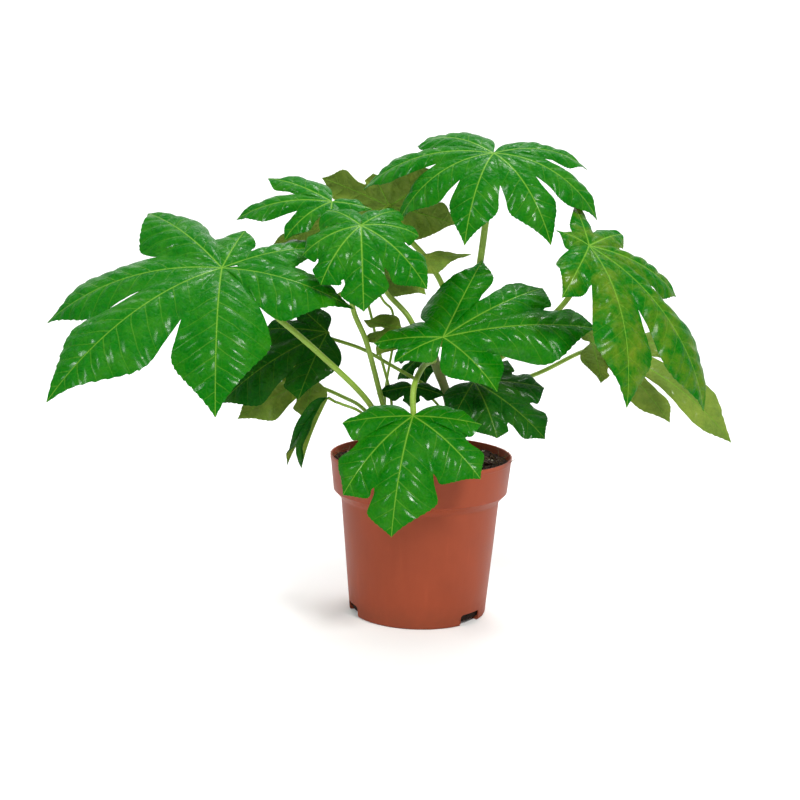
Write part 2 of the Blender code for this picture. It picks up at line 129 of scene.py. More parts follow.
# Leaves with the finish dark_leaf have painted shade in their colour.
LEAVES = (
    Leaf("left", "leaf", (-139, -30, 247), (190, -5, -28), 12,
         ((-165, 82, 30), (-115, 48, 20), (-62, 101, 30), (0, 130, 55), (36, 157, 50),
          (82, 125, 65), (150, 98, 35)),
         "side", 123, 2.2, ((-39, -14, 155), (-71, -26, 188), (-107, -38, 220)),
         {"breadth": 0.26, "sinuses": (0.43, 0.86, 0.43, 0.4, 0.43, 0.43)}),
    Leaf("top", "leaf", (45, 5, 328), (262, -30, 0), 12,
         ((-126, 80, 55), (-88, 103, 60), (-60, 87, 75), (-12, 82, 75), (36, 88, 75), (72, 92, 75),
          (106, 74, 60)),
         "main", 196, 2.6, ((25, 12, 209), (36, 19, 233), (39, 18, 253), (42, 11, 286)),
         {"breadth": 0.23}),
    Leaf("middle", "leaf", (-45, -35, 278), (268, -35, 0), 10,
         ((-133, 36, 40), (-66, 46, 55), (-30, 54, 60), (5, 67, 75), (50, 67, 60), (95, 42, 50),
          (136, 36, 40)),
         "side", 134, 2.0, ((-28, -9, 152), (-40, -12, 195), (-50, -20, 221), (-51, -28, 250)),
         {"breadth": 0.3, "sinuses": (0.8, 0.8, 0.78, 0.6, 0.6, 0.8)}),
    Leaf("right", "leaf", (109, -35, 268), (330, -38, 15), 12,
         ((-150, 25, 30), (-67, 53, 60), (-28, 124, 60), (6, 142, 60), (42, 80, 45), (88, 44, 30),
          (146, 40, 20)),
         "main", 176, 2.1, ((42, 14, 176), (76, 10, 201), (101, -8, 232))),
    Leaf("upper_left", "leaf", (-67, 10, 292), (185, -5, -35), 10,
         ((-42, 60, 30), (-9, 74, 50), (31, 46, 60), (83, 32, 40), (159, 30, 25)),
         "side", 127, 1.1, ((-23, 14, 155), (-33, 24, 189), (-40, 34, 215), (-54, 30, 259))),
    Leaf("back_top", "olive_leaf", (-27, 60, 288), (150, 0, 70), 0,
         ((-15, 45, 15), (25, 56, 15), (75, 28, 15), (150, 62, 15), (188, 60, 15)),
         "main", 188, 2.2, ((15, 30, 224), (2, 37, 250), (-15, 42, 268)),
         {"breadth": 0.34, "sinus": 0.6}),
    Leaf("behind_middle", "olive_leaf", (-33, -8, 245), (180, -25, -20), 0,
         ((-120, 36, 20), (-60, 36, 20), (0, 38, 20), (60, 36, 20), (121, 50, 25), (176, 66, 25)),
         "main", 192, 2.1, ((-11, 6, 212), (-26, 8, 228))),
    Leaf("centre", "leaf", (12, -45, 205), (350, -5, 40), 5,
         ((-32, 54, 50), (24, 112, 30), (50, 92, 25), (80, 79, 10), (190, 48, 25), (214, 38, 40)),
         "main", 193, 2.1, ((9, -20, 197),),
         {"breadth": 0.3, "base": 0.3, "sinuses": (0.5, 0.8, 0.5, 0.35, 0.75)}),
    Leaf("over_rim", "leaf", (-7, -58, 153), (262, -35, 0), 10,
         ((-78, 48, 20), (-35, 75, 50), (-4, 91, 60), (50, 67, 45), (84, 47, 20)),
         "main", 184, 2.2, ((-1, -25, 181), (-7, -46, 169)),
         {"breadth": 0.33, "sinuses": (0.86, 0.74, 0.62, 0.86)}),
    Leaf("low_right", "dark_leaf", (35, -25, 172), (340, -15, 30), 5,
         ((-90, 42, 40), (-45, 48, 40), (-14, 65, 35), (30, 51, 25), (72, 36, 15)),
         "main", 142, 1.8, ((27, -12, 155),), {"breadth": 0.36, "sinus": 0.72}),
    Leaf("far_right", "olive_leaf", (122, 25, 195), (330, -22, 35), 8,
         ((-46, 36, 30), (-14, 84, 35), (6, 128, 55), (37, 74, 30), (75, 38, 20), (140, 20, 20)),
         "main", 150, 1.7, ((48, 12, 162), (81, 15, 172), (110, 22, 186)), {"breadth": 0.3}),
    Leaf("left_low", "dark_leaf", (-69, 15, 199), (195, -25, -45), 8,
         ((-75, 38, 20), (-38, 50, 30), (0, 95, 45), (41, 56, 30)),
         "main", 160, 1.4, ((-3, 3, 167), (-25, 4, 179), (-44, 5, 189)),
         {"breadth": 0.32, "sinus": 0.6}),
    Leaf("left_lowest", "olive_leaf", (-79, 30, 163), (195, -15, -40), 5,
         ((-45, 45, 20), (9, 64, 25), (60, 36, 20)),
         "side", 123, 1.5, ((-42, 8, 145), (-58, 24, 151)), {"breadth": 0.34}),
    Leaf("folded", "dark_leaf", (-67, -5, 155), (215, -60, 0), 0,
         ((-26, 61, 20), (-6, 54, 20)),
         "side", 117, 1.1, ((-41, -6, 143), (-57, -8, 151)),
         {"breadth": 0.16, "sinus": 0.7, "fold": 66}),
    Leaf("inner_left", "olive_leaf", (-16, -8, 206), (190, -20, -50), 0,
         ((-42, 30, 20), (-8, 28, 20), (26, 27, 20)),
         "main", 188, 1.0, ((-8, -3, 199),), {"breadth": 0.34}),
    Leaf("inner_back", "dark_leaf", (1, 27, 184), (235, -50, 0), 0,
         ((-80, 27, 20), (-36, 28, 20), (22, 26, 20)),
         "main", 172, 1.0, ((14, 20, 172),), {"breadth": 0.4}),
    Leaf("inner_low", "dark_leaf", (-7, -8, 165), (262, -40, 0), 0,
         ((-80, 27, 20), (0, 18, 20), (80, 24, 20)),
         "main", 148, 1.0, ((4, -6, 158),), {"breadth": 0.3}),
    Leaf("back_left", "olive_leaf", (-66, 45, 276), (190, 0, 50), 0,
         ((-20, 50, 20), (25, 32, 20), (70, 26, 20)),
         "side", 119, 1.0,
         ((-27, 26, 150), (-22, 39, 190), (-23, 40, 212), (-31, 39, 222), (-47, 42, 251))),
)

# Leaves with yellowed patches on the upper face
MOTTLED = ("right",)

# Lobes of a leaf whose row says nothing else, as shares of their length or width: half width, where
# sinuses and base lie, how full the margin is low and high, and cupping. The fold is in degrees.
SHAPE = {"breadth": 0.25, "sinus": 0.43, "base": 0.12, "bulge": 1.8, "taper": 0.3, "cup": 0.3,
         "fold": 0.0}

# Camera: metres, degrees and, for lens and sensor, millimetres
CAMERA_PLACE = (-0.016, -0.986, 0.323)
CAMERA_PITCH = 9.75
CAMERA_ROLL = 1.32
CAMERA_LENS = 63.27
CAMERA_SENSOR = 36.0

# Floor that curves up into a backdrop, in metres
FLOOR_REACH = 4.0
CURVE_START = 1.2
CURVE_RADIUS = 1.2


def colour_setting(name, description, default):
    return FloatVectorProperty(name=name, description=description, subtype='COLOR', default=default,
                               min=0.0, max=1.0)


def length_setting(name, description, default):
    return FloatProperty(name=name, description=description, unit='LENGTH', default=default)


def power_setting(name, description, default):
    return FloatProperty(name=name, description=description, unit='POWER', default=default)


def count_setting(name, description, default, least=0):
    return IntProperty(name=name, description=description, default=default, min=least)


class PotSettings(bpy.types.PropertyGroup):
    colour: colour_setting("Colour", "Colour of the pot's plastic", (0.285, 0.055, 0.022))
    wall: length_setting("Wall", "Thickness of the pot's wall", WALL)
    steps: count_setting("Round steps", "Steps around the pot", 144, 24)


class SoilSettings(bpy.types.PropertyGroup):
    colour: colour_setting("Colour", "Colour of the moist peat", (0.013, 0.007, 0.005))
    lumps: length_setting("Lumps", "Height of the lumps on the soil", 3.2 * MM)
    perlite: count_setting("Perlite", "Pale specks on the soil", 170)
    chips: count_setting("Chips", "Bark chips on the soil", 260)
    fibres: count_setting("Fibres", "Thin roots and fibres on the soil", 150)


class StalkSettings(bpy.types.PropertyGroup):
    colour: colour_setting("Petiole colour", "Colour of the leaf stalks", (0.23, 0.38, 0.035))
    stem_colour: colour_setting("Stem colour", "Colour of the stems", (0.14, 0.19, 0.04))
    sides: count_setting("Sides", "Sides around a stalk", 16, 6)


class BladeSettings(bpy.types.PropertyGroup):
    thickness: length_setting("Thickness", "Thickness of a blade", 0.5 * MM)
    quilting: length_setting("Quilting", "Height of the swelling between two veins", 1.5 * MM)
    wave: length_setting("Wave", "Height of the waves along a margin", 1.3 * MM)
    teeth: count_setting("Teeth", "Teeth on each side of a lobe", 17)
    rows: count_setting("Rows", "Rows of faces along a lobe's free part", 64)
    columns: count_setting("Columns", "Faces from midrib to margin", 10)
    green: colour_setting("Green", "Colour of a leaf's upper face", (0.0, 0.13, 0.0))
    # Dark green is painted shade: the lower and inner leaves get it for the shade they lie in, in
    # place of the lit green.
    dark: colour_setting("Dark green", "Colour of the shaded lower leaves", (0.002, 0.075, 0.002))
    olive: colour_setting("Olive", "Colour of the underside", (0.13, 0.215, 0.03))
    vein: colour_setting("Vein", "Colour of the veins", (0.17, 0.38, 0.03))


class StageSettings(bpy.types.PropertyGroup):
    floor: colour_setting("Floor", "Colour of the floor", (0.95, 0.95, 0.95))
    backdrop: power_setting("Backdrop light", "Power of the light on the backdrop", 45.0)
    key: power_setting("Key light", "Power of the large front light", 23.0)
    fill: power_setting("Fill light", "Power of the side light", 11.0)
    top: power_setting("Top light", "Power of the light overhead", 14.0)


# Materials

class Value:
    """Output socket of a shader node. Arithmetic on it adds Math nodes."""

    def __init__(self, finish, socket):
        self.finish, self.socket = finish, socket

    def math(self, operation, *others):
        inputs = dict(enumerate((self, *others)))
        return self.finish.node("ShaderNodeMath", {"operation": operation}, inputs)

    def __add__(self, other):
        return self.math('ADD', other)

    __radd__ = __add__

    def __mul__(self, other):
        return self.math('MULTIPLY', other)

    def __sub__(self, other):
        return self.math('SUBTRACT', other)

    def __rsub__(self, other):
        return self * -1 + other

    def __truediv__(self, other):
        return self.math('DIVIDE', other)

    def __rtruediv__(self, other):
        return self.finish.node("ShaderNodeMath", {"operation": 'DIVIDE'}, {0: other, 1: self})

    def __pow__(self, other):
        return self.math('POWER', other)

    def __abs__(self):
        return self.math('ABSOLUTE')

    def fraction(self):
        return self.math('FRACT')

    def clamped(self):
        return self.math('MINIMUM', 1.0).math('MAXIMUM', 0.0)

    def highest(self, other):
        return self.math('MAXIMUM', other)

    def above(self, threshold):
        return self.math('GREATER_THAN', threshold)

    def ridge(self, width):
        """1 on the line where the value is 0, falling off over a width."""
        return 1 / (1 + (self / width) ** 2)


class Finish:
    """One material: a Principled shader with constants, and the nodes that feed it."""

    def __init__(self, name, **constants):
        self.material = bpy.data.materials.new(name)
        self.material.use_nodes = True
        self.tree = self.material.node_tree
        self.shader = self.tree.nodes["Principled BSDF"]
        for socket, value in constants.items():
            self.shader.inputs[socket.replace("_", " ")].default_value = value

    def node(self, kind, settings=None, inputs=None, output=0):
        """Adds a node whose inputs are constants or Values, and returns one of its outputs."""
        new = self.tree.nodes.new(kind)
        for setting, value in (settings or {}).items():
            setattr(new, setting, value)
        for socket, value in (inputs or {}).items():
            if isinstance(value, Value):
                self.tree.links.new(value.socket, new.inputs[socket])
            else:
                new.inputs[socket].default_value = value
        return Value(self, new.outputs[output])

    def feed(self, **values):
        """Links Values to the Principled shader and returns the finished material."""
        for socket, value in values.items():
            self.tree.links.new(value.socket, self.shader.inputs[socket.replace("_", " ")])
        return self.material

    def place(self):
        """Object coordinates in millimetres."""
        plain = self.node("ShaderNodeTexCoord", output="Object")
        return self.node("ShaderNodeVectorMath", {"operation": 'SCALE'},
                         {0: plain, "Scale": 1 / MM})

    def surface(self, layer):
        """The two numbers of a UV map, and both as a vector."""
        both = self.node("ShaderNodeUVMap", {"uv_map": layer})
        first = self.node("ShaderNodeSeparateXYZ", inputs={0: both})
        return first, Value(self, first.socket.node.outputs[1]), both

    def scaled(self, vector, factors):
        """A vector stretched along its axes."""
        return self.node("ShaderNodeVectorMath", {"operation": 'MULTIPLY'},
                         {0: vector, 1: factors})

    def grain(self, vector, size, detail=2.0, rough=0.5):
        """Cloudy noise from 0 to 1 with patches of about a size."""
        return self.node("ShaderNodeTexNoise", inputs={"Vector": vector, "Scale": 1 / size,
                                                       "Detail": detail, "Roughness": rough})

    def cells(self, vector, size, feature='F1'):
        """Distance to the middle, or with DISTANCE_TO_EDGE to the border, of cells of a size."""
        return self.node("ShaderNodeTexVoronoi", {"feature": feature},
                         {"Vector": vector, "Scale": 1 / size}, "Distance")

    def mix(self, factor, first, second):
        """First colour where the factor is 0, second where it is 1."""
        colours = {6: first if isinstance(first, Value) else (*first, 1.0),
                   7: second if isinstance(second, Value) else (*second, 1.0)}
        return self.node("ShaderNodeMix", {"data_type": 'RGBA'}, {0: factor, **colours}, 2)

    def bump(self, height):
        """Normals from a height in metres."""
        return self.node("ShaderNodeBump",
                         inputs={"Height": height, "Distance": 1.0, "Strength": 1.0})


def shade(colour, factor):
    return tuple(min(1.0, part * factor) for part in colour)


def vein_phase(x, away, left):
    """Count of side veins passed at x along a midrib and away from it, as Values or arrays."""
    return (x - away * VEIN_LEAN + away * away * VEIN_CURVE) / VEIN_STEP + left * 0.5


def plastic_finish(colour):
    """Moulded terracotta plastic: fine pitting, soft cloudy tone, pale streaks, a paler lip and
    soil dust towards the foot.
    """
    new = Finish("terracotta plastic", Specular_IOR_Level=0.15)
    place = new.place()
    height = new.node("ShaderNodeSeparateXYZ", inputs={0: place}, output=2)
    cloud = new.grain(place, 22.0, 4.0, 0.6)
    streak = new.grain(new.scaled(place, (1.0, 1.0, 0.12)), 5.0, 3.0)
    pits = new.grain(place, 0.35, 2.0)
    dust = ((1 - height / 26.0).clamped() * new.grain(place, 4.0, 5.0, 0.7) * 1.5 - 0.25).clamped()
    # The top of the lip is paler, as are a few streaks.
    lip = ((height - 112.5) / 2.5).clamped()
    body = new.mix(cloud * 0.7 + streak * 0.3, shade(colour, 0.82), shade(colour, 1.2))
    paler_lip_and_streaks = new.mix(lip * 0.35 + (streak - 0.62).clamped() * 0.8, body, shade(colour, 1.7))
    dusty = new.mix(dust * 0.5, paler_lip_and_streaks, (0.10, 0.045, 0.025))
    return new.feed(Base_Color=dusty, Roughness=0.36 + cloud * 0.16 + dust * 0.3,
                    Normal=new.bump(pits * 0.00004 + streak * 0.00005))


def soil_finish(colour):
    """Moist peat: dark crumbs with brown fibres and damp patches."""
    new = Finish("moist peat", Specular_IOR_Level=0.1)
    place = new.place()
    crumbs = new.cells(place, 1.5)
    fine = new.grain(place, 0.7, 4.0, 0.7)
    damp = new.grain(place, 11.0, 3.0)
    thread = abs(new.grain(new.scaled(place, (1.0, 0.25, 1.0)), 1.6, 3.0) - 0.5).ridge(0.02)
    base = new.mix(crumbs * 0.8 + fine * 0.4, shade(colour, 0.35), shade(colour, 2.6))
    threads = new.mix(thread * (fine * 0.7), base, (0.12, 0.07, 0.035))
    return new.feed(Base_Color=new.mix(damp * 0.5, threads, shade(colour, 0.6)),
                    Roughness=0.98 - damp * 0.3, Normal=new.bump(crumbs * 0.0005 + fine * 0.0004))


def speck_finish(name, light, dark, size):
    """Crumbly pale or brown specks."""
    new = Finish(name, Specular_IOR_Level=0.25)
    place = new.place()
    patches = new.grain(place, size, 4.0, 0.65)
    return new.feed(Base_Color=new.mix((patches * 2 - 0.5).clamped(), dark, light),
                    Roughness=0.8 + patches * 0.2, Normal=new.bump(patches * 0.0003))


def stalk_finish(name, colour, tip, streaks):
    """Stalk with fine lengthwise streaks and pale lenticels."""
    new = Finish(name, Specular_IOR_Level=0.45)
    along, across, both = new.surface("stalk")
    place = new.place()
    streak = new.grain(new.scaled(both, (0.05, 12.0, 0.0)), 1.0, 3.0, 0.6)
    spots = (1 - new.cells(new.scaled(both, (0.45, 5.0, 0.0)), 1.0) * 4).clamped()
    patches = new.grain(place, 9.0, 3.0)
    body = new.mix(streak * 0.6 + patches * 0.5, shade(colour, 0.6), shade(colour, 1.35))
    blushed = new.mix((patches * 1.6 - 0.8).clamped() * streaks, body, (0.20, 0.12, 0.045))
    spotted = new.mix(spots * 0.4, blushed, shade(tip, 1.1))
    return new.feed(Base_Color=spotted, Roughness=0.38 + streak * 0.18,
                    Normal=new.bump(streak * 0.00018 + spots * 0.0001))


def leaf_finish(name, colour, vein, gloss, raised, mottle):
    """Blade with a pale midrib, forward-leaning side veins, a fine net and broken gloss."""
    new = Finish(name, Specular_IOR_Level=0.05, Coat_Roughness=0.15)
    x, y, both = new.surface("lobe")
    u, c, _ = new.surface("share")
    place = new.place()
    drift = (new.grain(both, 14.0, 2.0) - 0.5) * 3.0
    away = abs(y)
    phase = vein_phase(x + drift, away, y.above(0.0)).fraction()
    lateral_gap = (0.5 - abs(phase - 0.5)) * (VEIN_STEP * 0.78)
    midrib = away.ridge(0.58 - u * 0.34)
    midrib = midrib * midrib
    lateral = lateral_gap.ridge(0.2 + (1 - c) * 0.2)
    lateral = lateral * lateral * (1 - c * 0.55)
    drifted = new.node("ShaderNodeVectorMath", {"operation": 'ADD'}, {0: both, 1: drift})
    net = new.cells(drifted, 4.2, 'DISTANCE_TO_EDGE')
    threads = net.ridge(0.045)
    cloud = new.grain(place, 16.0, 4.0, 0.6)
    fine = new.grain(both, 1.1, 3.0, 0.6)
    flesh = new.mix(cloud * 0.8 + fine * 0.3, shade(colour, 0.5), shade(colour, 1.5))
    yellowed = new.mix((cloud * 2.2 - 1.1 + fine * 0.3).clamped() * mottle, flesh,
                       (min(1.0, colour[0] + 0.22), min(1.0, colour[1] * 1.7), colour[2] + 0.01))
    veins = midrib.highest(lateral * 0.38).highest(threads * 0.05)
    green = new.mix(veins.clamped(), yellowed, vein)
    swell = (net * 2.2).clamped()
    relief = (swell * 0.0005 + fine * 0.00008 + (midrib * 0.0003 + lateral * 0.00028) * raised
              + new.grain(both, 6.0, 2.0) * 0.0013)
    coat = (swell * swell * 0.6 + cloud - 0.5).clamped() * 0.85 + 0.07
    return new.feed(Base_Color=green, Roughness=0.6 - 0.22 * gloss + fine * 0.10 + cloud * 0.08,
                    Coat_Weight=coat * gloss, Normal=new.bump(relief))


# Meshes

def placed(name, form):
    """Object in the scene with the form as its mesh."""
    mesh = bpy.data.meshes.new(name)
    form.to_mesh(mesh)
    form.free()
    new = bpy.data.objects.new(name, mesh)
    bpy.context.scene.collection.objects.link(new)
    return new


def piece(name, form, finishes, nodes, slot, sharp):
    """Finished form as an object that rides on the root and stands for its nodes."""
    new = placed(name, form)
    for finish in finishes:
        new.data.materials.append(finish)
    new.data.shade_smooth()
    new.data.set_sharp_from_angle(angle=radians(sharp))
    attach(new, "root")
    if nodes:
        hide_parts(*nodes)
    return new


def lattice(form, rows, columns, place, layers):
    """Grid with its vertices at place(row, column) and UV pairs from the layers' functions."""
    made = bmesh.ops.create_grid(form, x_segments=rows, y_segments=columns, size=1.0)["verts"]
    spots = {vert: (round((vert.co.x + 1) / 2 * rows), round((vert.co.y + 1) / 2 * columns))
             for vert in made}
    maps = [(form.loops.layers.uv.get(name) or form.loops.layers.uv.new(name), pair)
            for name, pair in layers.items()]
    for face in {face for vert in made for face in vert.link_faces}:
        for loop in face.loops:
            for layer, pair in maps:
                loop[layer].uv = pair(*spots[loop.vert])
    for vert, spot in spots.items():
        vert.co = place(*spot)
    return spots


def smooth_route(points, steps):
    """Catmull-Rom points through a route."""
    route = [Vector(point) for point in points]
    route = [2 * route[0] - route[1]] + route + [2 * route[-1] - route[-2]]
    smooth = []
    for a, b, c, d in zip(route, route[1:], route[2:], route[3:]):
        for step in range(steps):
            t = step / steps
            smooth.append(0.5 * (2 * b + (c - a) * t + (2 * a - 5 * b + 4 * c - d) * t * t
                                 + (3 * b - a - 3 * c + d) * t ** 3))
    return smooth + [route[-2]]


def stalk(form, points, radius_at, sides):
    """Closed tube along points (mm) with radius_at(share of its length, point's index)."""
    lengths = [0.0]
    for low, high in zip(points, points[1:]):
        lengths.append(lengths[-1] + (high - low).length)
    frames = []
    across = Vector((0.3, 1, 0.1))
    for index, point in enumerate(points):
        ahead = (points[min(index + 1, len(points) - 1)] - points[max(index - 1, 0)]).normalized()
        across = (across - ahead * across.dot(ahead)).normalized()
        radius = radius_at(lengths[index] / lengths[-1], index)
        frames.append((point, across, ahead.cross(across), radius))

    def place(row, column):
        point, first, second, radius = frames[row]
        turn = 2 * pi * column / sides
        return (point + (first * cos(turn) + second * sin(turn)) * radius) * MM

    spots = lattice(form, len(points) - 1, sides, place,
                    {"stalk": lambda row, column: (lengths[row], column / sides)})
    rings = [[vert for vert, (row, _) in spots.items() if row == end]
             for end in (0, len(points) - 1)]
    merge = [vert for vert, (_, column) in spots.items() if column in (0, sides)]
    bmesh.ops.remove_doubles(form, verts=merge, dist=0.000001)
    for ring in rings:
        rim = {edge for vert in ring if vert.is_valid
               for edge in vert.link_edges if edge.is_boundary}
        bmesh.ops.holes_fill(form, edges=list(rim), sides=0)


# Pot

def inner_wall(height, wall):
    """Inside radius of the pot at a height."""
    if height >= COLLAR_FOOT:
        share = (height - COLLAR_FOOT) / COLLAR_HEIGHT
        return COLLAR_FOOT_RADIUS + share * (RIM_RADIUS - COLLAR_FOOT_RADIUS) - wall
    return BODY_FOOT_RADIUS + height / BODY_TOP * (BODY_TOP_RADIUS - BODY_FOOT_RADIUS) - wall


def arc(centre, radius, start, end, steps):
    """Points of a circular arc in a radius and height plane."""
    turns = [radians(start + (end - start) * step / steps) for step in range(steps + 1)]
    return [(centre[0] + radius * cos(turn), centre[1] + radius * sin(turn)) for turn in turns]


def pot_profile(wall):
    """Section as (radius, height) points, from the floor inside over the lip to the foot."""
    lip = 0.5 * wall
    foot = BODY_FOOT_RADIUS - FOOT_ROUND
    step_top = (COLLAR_FOOT_RADIUS - STEP_ROUND, COLLAR_FOOT + STEP_ROUND)
    return [
        (0, FLOOR_TOP),
        (inner_wall(FLOOR_TOP, wall) - FLOOR_ROUND, FLOOR_TOP),
        (inner_wall(FLOOR_TOP, wall), FLOOR_TOP + FLOOR_ROUND),
        (inner_wall(BODY_TOP - 1.6 * MM, wall), BODY_TOP - 1.6 * MM),
        (BODY_TOP_RADIUS - wall + 0.4 * MM, BODY_TOP - STEP_BEVEL),
        (inner_wall(COLLAR_FOOT, wall) - 0.4 * MM, COLLAR_FOOT + 0.4 * MM),
        (inner_wall(COLLAR_FOOT, wall), COLLAR_FOOT + 1.2 * MM),
        *arc((RIM_RADIUS - lip, POT_HEIGHT - lip), lip, 180, 0, 8),
        (RIM_RADIUS - 0.15 * MM, POT_HEIGHT - LIP_BAND),
        (RIM_RADIUS - 0.45 * MM, POT_HEIGHT - LIP_BAND - 0.4 * MM),
        *arc(step_top, STEP_ROUND, 0, -80, 4),
        (BODY_TOP_RADIUS + 0.5 * MM, BODY_TOP + STEP_BEVEL),
        (BODY_TOP_RADIUS, BODY_TOP - 0.2 * MM),
        (BODY_TOP_RADIUS - 0.1 * MM, BODY_TOP - 1.2 * MM),
        (BODY_FOOT_RADIUS, FOOT_ROUND),
        *arc((foot, FOOT_ROUND), FOOT_ROUND, 0, -90, 5),
        (foot - FOOT_WIDTH, 0),
        (foot - FOOT_WIDTH, FOOT_RISE),
        (CENTRE_PAD_RADIUS, FOOT_RISE),
        (CENTRE_PAD_RADIUS, 0),
        (0, 0),
    ]


def spun(profile, steps):
    """Closed form turned around the z axis from (radius, height) points."""
    form = bmesh.new()
    verts = [form.verts.new((radius, 0, height)) for radius, height in profile]
    edges = [form.edges.new(pair) for pair in zip(verts, verts[1:])]
    bmesh.ops.spin(form, geom=verts + edges, axis=(0, 0, 1), cent=(0, 0, 0), dvec=(0, 0, 0),
                   angle=2 * pi, steps=steps, use_merge=True)
    bmesh.ops.remove_doubles(form, verts=form.verts, dist=0.00001)
    bmesh.ops.recalc_face_normals(form, faces=form.faces)
    return form


def pot_cutters():
    """Notches through the foot and round holes through the floor."""
    tools = []
    for angle in NOTCH_ANGLES:
        form = bmesh.new()
        bmesh.ops.create_cube(form, size=1.0)
        bmesh.ops.scale(form, vec=NOTCH_SIZE, verts=form.verts)
        corners = [edge for edge in form.edges
                   if abs(edge.verts[0].co.y - edge.verts[1].co.y) > NOTCH_SIZE[1] / 2]
        bmesh.ops.bevel(form, geom=corners, offset=NOTCH_ROUND, segments=5, affect='EDGES',
                        profile=0.5, material=-1)
        turn = Matrix.Rotation(radians(angle + 90), 4, 'Z')
        outward = Vector((cos(radians(angle)), sin(radians(angle)), 0))
        shift = Matrix.Translation(outward * BODY_FOOT_RADIUS)
        bmesh.ops.transform(form, matrix=shift @ turn, verts=form.verts)
        tools.append(placed("notch tool", form))
    for number in range(DRAIN_COUNT):
        turn = 2 * pi * (number + 0.5) / DRAIN_COUNT
        shift = Matrix.Translation((DRAIN_CIRCLE * cos(turn), DRAIN_CIRCLE * sin(turn), 0))
        form = bmesh.new()
        bmesh.ops.create_cone(form, cap_ends=True, segments=DRAIN_SIDES, radius1=DRAIN_RADIUS,
                              radius2=DRAIN_RADIUS, depth=DRAIN_CUTTER_DEPTH, matrix=shift)
        tools.append(placed("drain tool", form))
    return tools


def build_pot(look):
    form = spun(pot_profile(look.wall), look.steps)
    new = piece("nursery_pot", form, [plastic_finish(look.colour)], ["pot"], "pot", POT_SHARP)
    tools = pot_cutters()
    for tool in tools:
        change = new.modifiers.new("opening", 'BOOLEAN')
        change.operation = 'DIFFERENCE'
        change.object = tool
    graph = bpy.context.evaluated_depsgraph_get()
    finished = bpy.data.meshes.new_from_object(new.evaluated_get(graph))
    new.modifiers.clear()
    new.data = finished
    for tool in tools:
        bpy.data.objects.remove(tool, do_unlink=True)
    finished.shade_smooth()
    finished.set_sharp_from_angle(angle=radians(POT_SHARP))
    if len(finished.polygons) < look.steps * 20:
        raise RuntimeError("the pot lost its faces when its openings were cut")


# Soil

def soil_height(x, y, lumps):
    """Height of the soil's surface over a point, in metres."""
    away = sqrt(x * x + y * y) / RIM_RADIUS
    height = SOIL_TOP + SOIL_EDGE_RISE * max(0.0, away - SOIL_EDGE_START) / SOIL_EDGE_WIDTH
    for stem in (MAIN_STEM, SIDE_STEM):
        gap = (Vector((x, y)) - Vector(stem[0]).xy * MM).length
        height += STEM_MOUND / (1 + (gap / STEM_MOUND_REACH) ** 2)
    for size, share in LUMPS:
        height += lumps * share * noise.noise(Vector((x, y, 0.3)) / (size * MM))
    return height


def build_soil(look):
    """Lumpy surface out to the wall, and a skirt that follows the pot down to its floor."""
    edge = inner_wall(SOIL_TOP, WALL) - CLEARANCE
    heights = (COLLAR_FOOT + 2.5 * MM, BODY_TOP - 2 * MM, FLOOR_TOP + 0.4 * MM)
    skirt = [(inner_wall(height, WALL) - SKIRT_GAP, height) for height in heights]
    skirt.append((0, skirt[-1][1]))

    def place(row, column):
        turn = 2 * pi * column / SOIL_COLUMNS
        if row > SOIL_ROWS:
            radius, height = skirt[row - SOIL_ROWS - 1]
        else:
            radius = edge * row / SOIL_ROWS
            height = soil_height(radius * cos(turn), radius * sin(turn), look.lumps)
        return Vector((radius * cos(turn), radius * sin(turn), height))

    form = bmesh.new()
    lattice(form, SOIL_ROWS + len(skirt), SOIL_COLUMNS, place, {})
    bmesh.ops.remove_doubles(form, verts=form.verts, dist=0.000004)
    bmesh.ops.recalc_face_normals(form, faces=form.faces)
    piece("potting_soil", form, [soil_finish(look.colour)], ["soil"], "soil", 180.0)


def scatter(draw, reach):
    """A point on the soil within a share of its radius."""
    away = reach * inner_wall(SOIL_TOP, WALL) * sqrt(draw.random())
    turn = draw.uniform(0, 2 * pi)
    return away * cos(turn), away * sin(turn)


def build_specks(look):
    """Perlite and bark chips, sunk a little into the soil."""
    draw = Random(7)
    perlite = speck_finish("perlite", (0.62, 0.58, 0.50), (0.28, 0.24, 0.18), 0.8)
    bark = speck_finish("bark", (0.085, 0.045, 0.024), (0.012, 0.006, 0.004), 1.4)
    for name, count, sizes, flat, finish in (("perlite", look.perlite, (0.5, 1.5), 0.8, perlite),
                                             ("bark_chips", look.chips, (0.9, 3.4), 0.4, bark)):
        form = bmesh.new()
        for _ in range(count):
            x, y = scatter(draw, 0.96)
            size = draw.uniform(*sizes)
            made = bmesh.ops.create_icosphere(form, subdivisions=1, radius=size * MM)["verts"]
            for vert in made:
                vert.co *= 1 + 0.45 * noise.noise(vert.co / MM * 1.3 + Vector((x, y, 0)) * 900)
            turn = Euler([draw.uniform(*turns) for turns in ((-0.7, 0.7), (-0.7, 0.7), (0, 6.3))])
            squeeze = Matrix.Diagonal((1.0, draw.uniform(0.4, 1.0), flat)).to_3x3()
            spot = Vector((x, y, soil_height(x, y, look.lumps) + 0.2 * size * MM))
            lay = Matrix.Translation(spot) @ (turn.to_matrix() @ squeeze).to_4x4()
            bmesh.ops.transform(form, matrix=lay, verts=made)
        bmesh.ops.recalc_face_normals(form, faces=form.faces)
        piece(name, form, [finish], [], "soil", 30.0)


